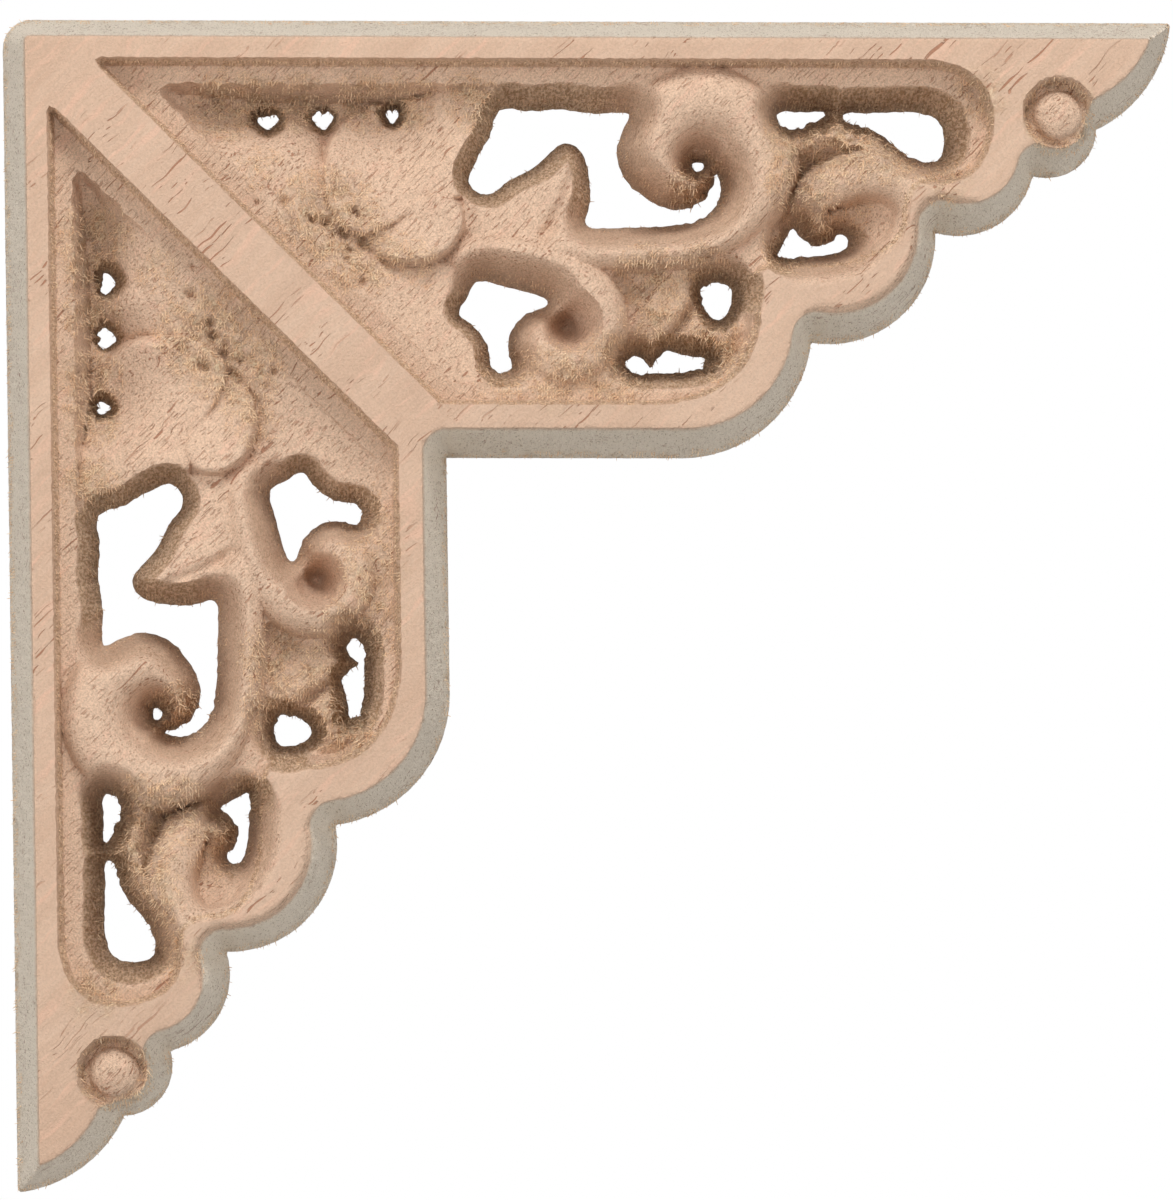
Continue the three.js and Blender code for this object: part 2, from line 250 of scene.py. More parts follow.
# %% [markdown]
# ## Torn places and cut walls
# Beech tears where the cutter leaves it across the grain: in the heart of the flower, at the
# ends of the scrolls, on the thin leaves and along the lower edges of the walls. These places
# are named here once, and the edges, the shader and the loose fibres all follow them.

# %% Where the wood is torn: along, across, radius, strength
TORN_PATCHES = [
    (22.0, 14.0, 2.6, 0.8), (24.2, 16.0, 2.2, 0.7), (27.6, 16.9, 1.4, 0.4), (47.4, 11.7, 1.5, 1.0),
    (54.4, 8.9, 2.0, 0.9), (57.6, 8.8, 1.9, 0.9), (60.4, 9.6, 1.5, 0.7), (54.2, 11.4, 1.8, 0.7),
    (55.6, 14.3, 1.1, 0.9), (57.6, 13.6, 1.2, 0.3), (48.5, 22.8, 1.5, 1.0), (44.2, 20.2, 1.8, 0.45),
    (46.2, 21.4, 1.6, 0.4), (32.2, 5.9, 1.5, 0.7), (43.6, 17.9, 1.6, 0.7), (47.4, 17.9, 1.6, 0.6),
    (41.2, 24.2, 2.0, 0.6), (37.4, 24.8, 1.8, 0.5), (66.4, 5.6, 1.5, 0.5), (63.8, 11.2, 1.4, 0.4),
    (15.2, 6.3, 1.8, 0.7), (17.2, 6.0, 1.4, 0.8), (20.4, 6.1, 1.4, 0.7), (24.6, 5.9, 1.5, 0.7),
    (27.6, 5.9, 1.4, 0.7), (17.6, 10.6, 1.2, 0.3), (34.2, 24.6, 1.6, 0.4), (53.2, 16.0, 1.3, 0.5)]
TORN_FADE = 1.6


def torn_share(x, y):
    total = np.zeros(np.shape(x))
    for along, across, radius, strength in TORN_PATCHES:
        r = np.hypot(x - along, y - across)
        total = np.maximum(total, strength * np.clip(TORN_FADE - r / radius, 0, 1))
    return total


# %% [markdown]
# ## Openings
# The openings go right through. They are drawn as they are at the back, where they are
# smallest. Little heart-shaped ones lie in a row along the band and in the eye of the volute.

# %% Openings at the flat back
OPENINGS = {
    "left_of_leaf_tip": [
        (34.1, 6.1), (36, 6.2), (38.9, 6.2), (39.1, 7.6), (38.5, 8.3), (37.9, 8.6), (37.1, 9.3), (36.2, 10.1),
        (34.6, 10.9), (33.2, 11.9), (32.4, 11.8), (31.8, 11.0), (32.3, 9.6), (33.2, 8.0)],
    "right_of_leaf_tip": [
        (38.5, 6.3), (40.6, 6.35), (42.8, 6.4), (42.4, 7.5), (42.0, 8.7), (42.1, 9.9), (42.6, 11.0),
        (43.6, 11.9), (44.9, 12.7), (46.3, 12.9), (47.4, 12.6), (48.1, 12.0), (48.5, 11.2), (48.8, 10.5),
        (49.05, 11.5), (48.6, 12.8), (47.6, 13.6), (45.7, 14.0), (42.4, 14.15), (39.8, 14.0), (40.1, 12.4),
        (40.0, 10.4), (39.7, 9.3), (39.2, 8.6), (38.5, 8.3), (38.0, 7.6)],
    "beside_small_scroll": [
        (32.3, 17.9), (34.4, 18.3), (36, 18.7), (37.1, 19.2), (36.9, 19.6), (35.6, 20.1), (34.6, 21.2),
        (34.3, 22.4), (34.5, 23.8), (34.0, 24.1), (33.3, 23.9), (32.8, 22), (31.9, 20.9), (31, 20.1),
        (31.5, 19.1)],
    "under_end_band": [
        (57.5, 6.4), (60, 6.25), (62.9, 6.25), (64.1, 6.8), (64.5, 8.2), (64, 9.5), (63.1, 9.6),
        (61.8, 9.1), (60.4, 7.9), (59.2, 7.25), (57.9, 6.9)],
    "below_third_scroll": [
        (54.0, 14.2), (54.6, 14.9), (55.3, 15.4), (56.6, 15.1), (57.1, 14.6), (57.7, 14.8), (57.7, 15.4),
        (56.8, 15.9), (54.6, 16.15), (53, 16.1), (53.4, 15.1)],
    "right_of_star_leaf": [
        (47.8, 18.2), (49.6, 18.2), (49.6, 19.6), (48.9, 20.5), (48.3, 20.3), (47.7, 19.2)],
    "under_star_leaf": [
        (42.4, 23.4), (43.0, 23.0), (43.6, 23.2), (44.1, 23.8), (44.5, 23.2), (45.2, 22.7), (46.4, 22.9),
        (48.0, 23.2), (47.6, 23.7), (46.6, 24.05), (44.4, 24.15), (42.8, 24.1)],
    "beside_torn_leaf": [
        (53.1, 6.25), (55.0, 6.2), (56.4, 6.25), (56.0, 6.7), (55.2, 7.0), (54.5, 7.35), (53.6, 7.3),
        (53.1, 6.8)],
}
HEART_PITS = [
    (18.05, 6.95, 0.8, 0.5), (21.85, 6.85, 0.7, 0.62), (26.6, 6.6, 0.42, 0.45), (47.5, 10.0, 0.42, 0.3)]


def heart(along, across, half_width, half_height):
    """A small heart, point down."""
    shape = [(-0.5, -1), (0, -0.6), (0.5, -1), (1, -0.4), (0.6, 0.5), (0, 1), (-0.6, 0.5), (-1, -0.4)]
    return [(along + half_width * a, across + half_height * b) for a, b in shape]


OPENING_LOOPS = [smooth_points(p, True) for p in OPENINGS.values()]
OPENING_LOOPS += [smooth_points(heart(*pit), True, 3) for pit in HEART_PITS]
OPENING_RAGGED = 0.035
TORN_RAGGED = 0.1
OUTLINE_RAGGED = 0.012
RAGGED_REACH = 2.5


def outer_distance(x, y):
    """How far a point lies inside the board's outline."""
    return inside_distance(OUTLINE, x, y) - OUTLINE_RAGGED * np.maximum(1 + ragged(x, y), 0)


def wood_distance(x, y):
    """How far a point lies from the nearest cut-away place, measured at the back."""
    openings = np.full(np.shape(x), FAR)
    for loop in OPENING_LOOPS:
        openings = np.minimum(openings, -inside_distance(loop, x, y))
    near = np.clip(1.5 - openings / RAGGED_REACH, 0, 1)
    openings = openings + near * (OPENING_RAGGED + TORN_RAGGED * torn_share(x, y)) * ragged(x, y)
    return np.minimum(outer_distance(x, y), openings)


print(len(OPENING_LOOPS), "openings in each arm")

# %% [markdown]
# ## The panel and its ledge
# Inside the raised strips the wood is cut down by one step, which leaves a ledge all round.
# Past the ledge the ground falls again, and the flower, the leaf and the scrolls rise from it.

# %% Panel, pockets and their floors
BAR_OFFSET = BAR_HALF_WIDTH * math.sqrt(2)
LEDGE_OFFSET = BAR_LEDGE_HALF_WIDTH * math.sqrt(2)
LEDGE_EDGE = 4.8
LOW_LEDGE_EDGE = 25.2
PANEL_END_ROUND = 0.9
POCKET_END_ROUND = 1.5


def rounded(points, sharp_until, pieces=5):
    """A loop whose first corners stay sharp and whose later points lie on a smooth curve."""
    curved = smooth_points(points[sharp_until - 1:], False, pieces)
    return np.array(points[:sharp_until - 1] + [tuple(p) for p in curved])


def point_round(corner, reach):
    """Three points that round the sharp end between a straight edge and the bar's diagonal."""
    (x, y), slant = corner, reach / math.sqrt(2)
    return [(x + slant, y + slant), (x + 0.45 * reach, y + 0.2 * reach), (x + reach, y)]


PANEL = rounded([
    (INNER_STRIP_EDGE + BAR_OFFSET, INNER_STRIP_EDGE),
    *point_round((STRIP_EDGE + BAR_OFFSET, STRIP_EDGE), PANEL_END_ROUND),
    (63.2, STRIP_EDGE), (65.3, 3.8), (66.8, 5.2), (67.3, 7.3), (66.8, 9.6), (65.8, 11.0), (64.2, 11.6),
    (62.4, 11.7), (61.5, 12.6), (61.3, 14.4), (60.4, 15.8), (58.4, 16.8), (55.6, 17.2), (52.6, 17.2),
    (50.9, 18.2), (51.3, 21), (50.2, 23.9), (48.0, 25.8), (45.0, INNER_STRIP_EDGE)], 5)
FLOWER_POCKET = np.array([
    *point_round((LEDGE_EDGE + LEDGE_OFFSET, LEDGE_EDGE), POCKET_END_ROUND),
    (35.0, LEDGE_EDGE), (36.0, 16.0), (36.0, LOW_LEDGE_EDGE),
    (LOW_LEDGE_EDGE + LEDGE_OFFSET, LOW_LEDGE_EDGE)])
FLOWER_GROUND = draped([
    (10.4, 5.3, 4.9), (12.2, 6.0, 3.7), (14.5, 6.9, 3.2), (16.2, 7.9, 4.1), (13.4, 8.0, 5.0),
    (15.2, 9.9, 5.9), (17.7, 6.1, 1.6), (19.9, 6.3, 1.9), (21.8, 6.3, 1.4), (24.2, 6.2, 1.8),
    (26.4, 6.1, 1.7), (28.4, 5.7, 2.8), (30.0, 5.5, 4.8), (32.6, 5.4, 5.3), (19.4, 8.8, 5.0),
    (17.5, 11.9, 5.95), (20.2, 12.6, 5.4), (22.4, 14.6, 5.3), (22.4, 17.2, 5.95), (25.5, 18.0, 5.5),
    (28.0, 20.0, 5.2), (30.2, 18.9, 5.1), (28.6, 23.2, 5.7), (31.7, 24.4, 5.4), (33.0, 22.0, 5.0),
    (24.0, 15.5, 5.1), (33.5, 24.8, 5.6), (19.9, 7.4, 3.8), (31, 17.2, 5.0)])
STAR_POCKET = smooth_points([
    (41.4, 17.4), (44.6, 17.0), (48, 17.0), (50.1, 17.5), (50.6, 19.6), (50.7, 21.8), (49.5, 23.9),
    (46.9, 25.1), (43.2, 25.2), (41.4, 24.4), (41.0, 21)], True)
STAR_GROUND = draped([
    (42.6, 18.5, 4.6), (46.6, 18.1, 5.0), (44.5, 20.3, 5.4), (42.4, 21.2, 4.8), (47.0, 19.8, 5.2),
    (48.9, 21.6, 5.0), (48.6, 23.0, 4.2), (46.6, 22.4, 5.0), (44.0, 22.6, 4.8), (42.5, 23.2, 3.0),
    (50.2, 18.6, 3.6), (50.2, 22.0, 4.2), (45.6, 23.3, 4.4)])
SCROLL_POCKET = smooth_points([
    (52.4, 10.2), (54.2, 8.2), (57, 8.6), (60, 9.8), (61.6, 11.6), (61.4, 13.8), (60.9, 15.4), (59.6, 16.7),
    (57.2, 17.0), (54.0, 17.1), (52.2, 16.6), (51.8, 13.6)], True)
SCROLL_GROUND = draped([
    (53.6, 11.2, 1.2), (54.0, 12.6, 1.6), (55.6, 13.6, 3.6), (57.6, 12.6, 3.6), (59.2, 12.9, 4.8),
    (60.0, 14.2, 5.2), (59.2, 15.6, 5.0), (57.2, 16.4, 6.0), (54.4, 16.6, 6.4), (58.4, 14.0, 3.4),
    (56.4, 13.9, 4.4), (52.6, 15.8, 4.6), (53.8, 14.0, 2.4)])
POCKETS = [(FLOWER_POCKET, FLOWER_GROUND), (STAR_POCKET, STAR_GROUND), (SCROLL_POCKET, SCROLL_GROUND)]
print("panel drawn with", len(PANEL), "points, pockets:", len(POCKETS))

# %% [markdown]
# ## Petals and leaves
# Each petal has its own outline and its own skin over a few named heights. Its edge turns
# down a little and then drops, so neighbouring petals part along a dark line.

# %% Raised petals and leaves
PETALS = {
    "big_petal": ([
        (22.3, 13.0), (22.0, 9.8), (22.9, 7.6), (25, 6.3), (28, 5.6), (31, 5.1), (33.6, 5.0),
        (33.8, 8.2), (32.2, 10.9), (30.9, 12.4), (28.4, 13.0), (26, 14.4), (24, 14.9)], [
        (22.4, 10, 5.5), (23.2, 7.8, 3.9), (26.4, 7.2, 2.8), (29.8, 6.2, 4.6), (32.8, 6.2, 4.9),
        (32.6, 8, 4.9), (31.0, 10, 5.8), (29.6, 11.9, 5.6), (27, 9.4, 4.3), (26, 11.5, 4.9),
        (24.2, 12.6, 5.2), (24, 10, 4.8)]),
    "small_petal": ([
        (26.4, 13.3), (28.0, 12.6), (29.6, 12.2), (30.9, 13.0), (31.1, 14.6), (30.3, 15.9), (28.8, 16.7),
        (26.6, 16.8), (25.0, 15.9)], [
        (30.5, 13.4, 6.4), (30.4, 15.0, 6.5), (29.2, 12.7, 6.0), (28.4, 16.2, 6.4), (26.2, 16.2, 5.9),
        (27.4, 14.4, 5.4), (25.6, 15.0, 5.2), (29.0, 14.6, 5.9)]),
    "leaf": ([
        (38.5, 7.6), (39.8, 8.9), (40.6, 11.4), (40.3, 14.0), (38.6, 16.0), (36.4, 16.8), (33.4, 17.0),
        (31.4, 17.0), (30.9, 15.4), (31.1, 13.0), (33.2, 10.6), (36.0, 9.4)], [
        (38.5, 9.3, 6.7), (39.0, 11, 7.1), (38.6, 12.8, 7.1), (37.9, 14.4, 6.7), (36.5, 11.7, 6.5),
        (34.5, 12.8, 6.0), (32.2, 13.6, 5.5), (31.8, 15.8, 5.6), (34.5, 15, 6.3), (36.4, 14.0, 6.5),
        (36.4, 16.2, 6.7)]),
    "torn_leaf": ([
        (52.6, 8.6), (53.6, 7.0), (56.4, 6.4), (57.8, 6.8), (60.0, 7.4), (62.4, 9.0), (62.4, 10.6),
        (59.6, 10.2), (57.0, 10.2), (54.8, 11.0), (52.8, 11.8)], [
        (53.2, 8.8, 5.2), (54.6, 8.4, 6.0), (56.8, 7.8, 6.3), (57.6, 8.2, 6.2), (60.2, 8.8, 6.0),
        (61.8, 9.9, 6.0), (59.6, 9.9, 4.6), (57.0, 10.0, 3.6), (54.6, 10.6, 2.4), (53.2, 11.4, 2.2)]),
}
EDGE_TURN = 0.35
EDGE_DROP = 0.2
PETAL_REACH = 2


def raised(outline, skin, x, y):
    """Height of a petal: its skin inside the outline, and a steep fall outside it."""
    inside = inside_distance(outline, x, y)
    turned = EDGE_DROP * (1 - np.clip(inside / EDGE_TURN, 0, 1)) ** 2
    return np.where(inside > -PETAL_REACH, skin(x, y) - turned + np.minimum(inside, 0) / DRAFT, -FAR)


PETAL_FORMS = {name: (smooth_points(o, True), draped(h)) for name, (o, h) in PETALS.items()}
print(len(PETAL_FORMS), "petals and leaves in each arm")

# %% [markdown]
# ## Scrolls
# A scroll is a round moulding on a winding ridge line. Each place on the ridge has its own
# height and half width, so the stem can swell into the volute and thin out towards its end.
# The eye of each volute is a steep cone.

# %% Ridge lines: along, across, height, half width
SCROLLS = {
    "big_scroll": [
        (33.4, 16.3, 6.2, 1.4), (36.4, 16.0, 7.0, 1.5), (39.4, 15.8, 7.5, 1.6), (43.2, 15.6, 7.6, 1.7),
        (46.6, 15.1, 7.7, 1.8), (49.4, 13.9, 7.7, 1.9), (51.2, 11.9, 7.7, 2.0), (51.8, 9.7, 7.7, 2.1),
        (51.1, 7.6, 7.7, 2.1), (49.6, 6.2, 7.7, 2.2), (47.6, 5.7, 7.6, 2.3), (45.6, 6.3, 7.5, 2.3),
        (44.3, 7.7, 7.4, 2.3), (43.9, 9.6, 7.2, 2.3), (44.4, 11.2, 6.8, 2.2), (45.6, 12.2, 6.2, 1.9),
        (46.8, 12.3, 5.6, 1.4)],
    "small_scroll": [
        (31.4, 16.2, 6.0, 1.3), (33.2, 16.5, 7.0, 1.5), (35.6, 16.9, 7.5, 1.7), (38, 17.7, 7.6, 1.8),
        (39.8, 19.1, 7.6, 1.8), (40.4, 21, 7.5, 1.8), (39.8, 22.7, 7.3, 1.7), (38.3, 23.6, 7.0, 1.6),
        (36.8, 23.2, 6.6, 1.6), (36.0, 22.0, 6.3, 1.5), (36.4, 20.9, 5.8, 1.2)],
    "third_scroll": [
        (55.8, 18.0, 8.0, 1.3), (58.8, 17.7, 8.0, 1.5), (61.0, 16.6, 8.0, 1.7), (62.2, 15.1, 8.0, 1.9),
        (62.5, 13.4, 8.0, 1.9), (61.8, 11.9, 7.9, 1.7), (60.4, 11.0, 7.7, 1.6), (58.5, 10.8, 7.4, 1.5),
        (56.7, 11.4, 6.9, 1.4), (55.4, 12.3, 6.2, 1.3), (54.9, 13.4, 5.5, 1.2), (55.4, 14.2, 5.0, 1.1),
        (56.2, 14.3, 4.6, 0.9)],
}
EYES = [(47.5, 9.9, 0.4, -0.6, 3.5), (38.3, 20.95, 0.28, -0.6, 3.5)]
SCROLL_LINES = {name: smooth_points(points, False, 6) for name, points in SCROLLS.items()}
ARCH = 0.95


def moulding(line, x, y):
    """Round moulding on a ridge line; past its half width it falls as a drafted wall."""
    distance, (crest, half) = beside_line(line, x, y)
    share = np.clip(distance / half, 0, 1)
    arch = crest - ARCH * half * (1 - np.sqrt(1 - share ** 2))
    return arch - np.maximum(distance - half, 0) / DRAFT


def eye(along, across, radius, floor, steepness, x, y):
    """A steep round pit whose point is rounded over the given radius."""
    return floor + steepness * np.sqrt((x - along) ** 2 + (y - across) ** 2 + radius ** 2)


print(len(SCROLL_LINES), "scrolls in each arm")

# %% [markdown]
# ## Grooves, pits and bosses
# Creases part the petals, little pits stand for the stamens where the flower's heart was
# stabbed with a fine bit, and a ring groove leaves a low round boss near the tip.

# %% Small cuts
CREASES = [
    ([(22.2, 7.6), (21.9, 9.2), (22.2, 11.0), (23.0, 12.6)], 0.4, 0.3),
    ([(38.7, 11.0), (38.0, 13.0), (37.1, 14.6), (36.6, 15.3)], 0.6, 0.6),
    ([(47.2, 19.5), (46.5, 20.4), (45.8, 21.4), (45.4, 22.4)], 0.6, 1.3),
    ([(26.2, 13.2), (27.4, 12.7), (28.8, 12.2)], 0.4, 0.2),
    ([(24.6, 15.8), (26.2, 17.0), (28.6, 17.0), (30.4, 16.4), (31.3, 15.0)], 0.45, 0.45),
]
STAMEN_PITS = [
    (19.1, 12.8, 0.35, 0.7), (21.0, 14.0, 0.3, 1.0), (21.9, 14.2, 0.34, 1.1), (23.1, 14.9, 0.42, 1.0),
    (24.0, 13.6, 0.38, 0.8), (24.4, 15.3, 0.34, 0.9), (22.4, 15.1, 0.26, 0.6), (23.6, 16.1, 0.3, 0.7),
    (23.3, 16.7, 0.24, 0.5), (24.3, 18.3, 0.26, 0.6), (17.2, 12.9, 0.2, 0.4)]
BOSS = (71.7, 6.85)
BOSS_RADIUS = 1.55
BOSS_GROOVE_RADIUS = 2.5
BOSS_GROOVE_DEPTH = 1.6
BOSS_TOP = THICKNESS - 0.5
BOSS_CURVE = 0.55
BOSS_DRAFT = 0.3


def boss(x, y):
    """A low dome in a ring groove; far from it, nothing is cut."""
    r = np.hypot(x - BOSS[0], y - BOSS[1])
    floor = THICKNESS - BOSS_GROOVE_DEPTH
    dome = BOSS_TOP - BOSS_CURVE * (r / BOSS_RADIUS) ** 2 - np.maximum(r - BOSS_RADIUS, 0) / BOSS_DRAFT
    wall = THICKNESS + (r - BOSS_GROOVE_RADIUS) / DRAFT
    return np.maximum(np.maximum(dome, floor), wall)


PANEL_RAGGED = 0.03
POCKET_RAGGED = 0.09


def panel_distance(x, y):
    return inside_distance(PANEL, x, y, FAR) + PANEL_RAGGED * ragged(x, y)


def carved_surface(x, y):
    """The worked surface of the upper arm, before the walls of outline and openings are cut."""
    panel = panel_distance(x, y)
    top = np.clip(THICKNESS - panel / DRAFT, LEDGE, THICKNESS)
    for pocket, ground in POCKETS:
        depth = inside_distance(pocket, x, y) + POCKET_RAGGED * wander(x, y)
        sunk = np.maximum(ground(x, y), top - np.maximum(depth, 0) / DRAFT)
        top = np.where(depth > 0, np.minimum(top, sunk), top)
    for outline, skin in PETAL_FORMS.values():
        top = np.maximum(top, raised(outline, skin, x, y))
    for line in SCROLL_LINES.values():
        top = np.maximum(top, moulding(line, x, y))
    for pit in EYES:
        top = np.minimum(top, eye(*pit, x, y))
    for path, half, depth in CREASES:
        distance, _ = beside_line(np.array(path, float), x, y)
        top = top - depth * np.exp(-((distance / half) ** 2) * 2)
    for along, across, radius, depth in STAMEN_PITS:
        r = np.hypot(x - along, y - across)
        top = top - depth * np.exp(-((r / radius) ** 2))
    return np.minimum(np.minimum(top, boss(x, y)), THICKNESS)


SHOULDER = 0.25
ROUND_SHOULDER = 2.7
SOFT_REACH = 1.2
LEAST_REACH = 0.02


def softness(x, y):
    """How round the shoulder above a wall is: crisp at the strips, full along the scrolls."""
    share = np.zeros(np.shape(x))
    for line in SCROLL_LINES.values():
        distance, (_, half) = beside_line(line, x, y)
        share = np.maximum(share, np.clip(1.5 - (distance - half) / SOFT_REACH, 0, 1))
    return SHOULDER + (ROUND_SHOULDER - SHOULDER) * share


def relief(x, y):
    """Height of the finished wood: the lower of surface and wall, with a rounded shoulder."""
    surface, wall = carved_surface(x, y), wood_distance(x, y) / DRAFT
    reach = np.minimum(softness(x, y), np.maximum(np.minimum(surface, wall), LEAST_REACH))
    share = np.clip(0.5 + 0.5 * (wall - surface) / reach, 0, 1)
    return wall + (surface - wall) * share - reach * share * (1 - share)


print("heights at the flower:", relief(np.array([22.5, 18.0]), np.array([15.0, 7.0])).round(2))

# %% [markdown]
# ## From a sheet to a carving
# A bmesh grid lies on the board like a sheet of paper, and every point is then lifted to the
# height of the wood there. A crisp edge would turn into a saw line on such a grid, so each one
# is scored first: the sheet is lifted by the distance to that edge, and bisect_plane cuts it
# where this is zero. The points on the cut are slid exactly onto the line.

# %% Sheet and scoring knife
SNAP = 0.03
SLOPE_STEP = 0.01
LEAST_SLOPE = 0.2


def places(verts):
    """The x, y and z of some vertices as three arrays."""
    return np.array([v.co[:] for v in verts]).T


def everything(bm):
    return bm.verts[:] + bm.edges[:] + bm.faces[:]


def lift(bm, heights):
    for vert, height in zip(bm.verts, heights):
        vert.co.z = height


def score(bm, field, cut_away=False):
    """Cut the sheet along the line where a field of x and y is zero."""
    x, y, _ = places(bm.verts)
    lift(bm, field(x, y))
    bmesh.ops.bisect_plane(
        bm, geom=everything(bm), dist=SNAP, plane_co=(0, 0, 0), plane_no=(0, 0, 1), clear_inner=cut_away)
    near = [v for v in bm.verts if abs(v.co.z) < SNAP * 1.5]
    if not near:
        return
    x, y, _ = places(near)
    value, small = field(x, y), SLOPE_STEP
    slope_x = (field(x + small, y) - field(x - small, y)) / (2 * small)
    slope_y = (field(x, y + small) - field(x, y - small)) / (2 * small)
    steep = slope_x ** 2 + slope_y ** 2
    clear = (np.abs(value) < 2 * SNAP) & (steep > LEAST_SLOPE)
    share = np.where(clear, value / np.maximum(steep, LEAST_SLOPE), 0)
    for vert, dx, dy in zip(near, share * slope_x, share * slope_y):
        vert.co.x -= dx
        vert.co.y -= dy


def outline_field(loop, raggedness=0.0):
    return lambda x, y: inside_distance(loop, x, y) + raggedness * wander(x, y)


def panel_field(inset):
    return lambda x, y: panel_distance(x, y) - inset


def wall_top_field(x, y):
    return DRAFT * carved_surface(x, y) - wood_distance(x, y)


# %% [markdown]
# The back is flat, so it needs no grid. The sheet's own edge loops are joined by long
# triangles, and those that would span an opening are left out: a point is in the wood when a
# line from it crosses the loops an odd number of times.

# %% Flat back
def in_the_wood(starts, ends, spots):
    (ax, ay), (bx, by) = starts.T[:, :, None], ends.T[:, :, None]
    x, y = spots.T
    crossed = (ay > y) != (by > y)
    level = np.where(by == ay, 1, by - ay)
    return (crossed & (x < ax + (y - ay) / level * (bx - ax))).sum(axis=0) % 2 == 1


def clip_ears(bm):
    """Drop the slivers at sharp corners: all their points are on the rim, so they stay flat."""
    ears = [
        f for f in bm.faces
        if all(v.is_boundary for v in f.verts) and sum(e.is_boundary for e in f.edges) > 1]
    bmesh.ops.delete(bm, geom=ears, context="FACES")


TRIANGLES_INSIDE = 1
SAME_POINT = 1e-7


def add_flat_back(bm):
    """Close all edge loops of the flat sheet with triangles, and return their vertices."""
    corners = [v for v in bm.verts if v.is_boundary]
    number = {v: i for i, v in enumerate(corners)}
    pairs = [tuple(number[v] for v in e.verts) for e in bm.edges if e.is_boundary]
    spots, _, triangles, *_ = delaunay_2d_cdt(
        [v.co.to_2d() for v in corners], pairs, [], TRIANGLES_INSIDE, SAME_POINT)
    flat = np.array(spots)
    triangles = np.array(triangles)
    ends = np.array([[corners[i].co[:2] for i in pair] for pair in pairs])
    wanted = triangles[in_the_wood(ends[:, 0], ends[:, 1], flat[triangles].mean(axis=1))]
    made = [bm.verts.new((x, y, 0)) for x, y in flat]
    for triangle in wanted:
        bm.faces.new([made[i] for i in reversed(triangle)])
    return set(made)


# %% Carve the upper arm
CUT_TOLERANCE = 1e-5
EDGE_HEIGHT = 0.3
SEAM_WIDTH = 1e-3
LEAST_HEIGHT = 0.01


def upper_arm():
    bm = bmesh.new()
    width = OUTLINE[:, 0].max() + 2 * CELL
    height = ARM_WIDTH + 2 * CELL
    middle = Matrix.Translation((width / 2 - CELL, height / 2 - CELL, 0))
    place = middle @ Matrix.Diagonal((width, height, 1, 1))
    bmesh.ops.create_grid(
        bm, x_segments=round(width / CELL), y_segments=round(height / CELL), size=0.5, matrix=place)
    x, y, _ = places(bm.verts)
    outside = (wood_distance(x, y) < -2 * CELL) | (y > x + 2 * CELL)
    spare = [v for v, gone in zip(bm.verts, outside) if gone]
    bmesh.ops.delete(bm, geom=spare, context="VERTS")
    score(bm, panel_field(0.0))
    score(bm, panel_field(STEP_DEPTH * DRAFT))
    for pocket, _ in POCKETS:
        score(bm, outline_field(pocket, POCKET_RAGGED))
    for outline, _ in PETAL_FORMS.values():
        score(bm, outline_field(outline))
    score(bm, wall_top_field)
    score(bm, wood_distance, cut_away=True)
    bmesh.ops.bisect_plane(
        bm, geom=everything(bm), dist=CUT_TOLERANCE, plane_co=(0, 0, 0), plane_no=(-1, 1, 0),
        clear_outer=True)
    lift(bm, np.zeros(len(bm.verts)))
    clip_ears(bm)
    on_rim = {v for v in bm.verts if v.is_boundary}
    underside = add_flat_back(bm)
    x, y, _ = places(bm.verts)
    for vert, height in zip(bm.verts, relief(x, y)):
        if vert not in underside:
            on_seam = abs(vert.co.x - vert.co.y) < SEAM_WIDTH and height > EDGE_HEIGHT
            on_edge = vert in on_rim and not on_seam
            vert.co.z = 0 if on_edge else max(height, LEAST_HEIGHT)
    print("upper arm:", len(bm.verts), "points,", len(bm.faces), "faces")
    return bm


# %% [markdown]
# ## The whole onlay
# The other arm is the same carving turned over the bar, so the half is copied and its two
# bench directions change places. The seam on the bar is merged, and the board is stood up in
# the frame.

# %% Both arms, back and place
SWAP = Matrix(((0, 1, 0, 0), (1, 0, 0, 0), (0, 0, 1, 0), (0, 0, 0, 1)))
STAND_UP = Matrix((
    (MM, LEAN * MM, 0, -ORIGIN_ALONG * (1 + LEAN) * MM),
    (0, 0, -MM, 0),
    (0, -MM, 0, ORIGIN_ALONG * MM),
    (0, 0, 0, 1)))
MERGE_DISTANCE = 1e-5


def drop_doubled(bm):
    """Remove slivers of the sheet that lie flat on the back, together with the back there."""
    seen = {}
    for face in bm.faces:
        seen.setdefault(frozenset(face.verts), []).append(face)
    doubled = [face for same in seen.values() if len(same) > 1 for face in same]
    bmesh.ops.delete(bm, geom=doubled, context="FACES")


def whole_board():
    bm = upper_arm()
    copied = bmesh.ops.duplicate(bm, geom=everything(bm))
    twin = [e for e in copied["geom"] if isinstance(e, bmesh.types.BMVert)]
    bmesh.ops.transform(bm, matrix=SWAP, verts=twin)
    merged = len(bm.verts)
    bmesh.ops.remove_doubles(bm, verts=bm.verts[:], dist=MERGE_DISTANCE)
    print("seam points merged:", merged - len(bm.verts))
    print("open edges left:", sum(e.is_boundary for e in bm.edges))
    bmesh.ops.triangulate(bm, faces=[f for f in bm.faces if len(f.verts) > 3])
    drop_doubled(bm)
    bmesh.ops.recalc_face_normals(bm, faces=bm.faces[:])
    back = [f for f in bm.faces if all(v.co.z == 0 for v in f.verts)]
    print("back:", len(back), "faces, turned the wrong way:", sum(f.normal.z > 0 for f in back))
    return bm


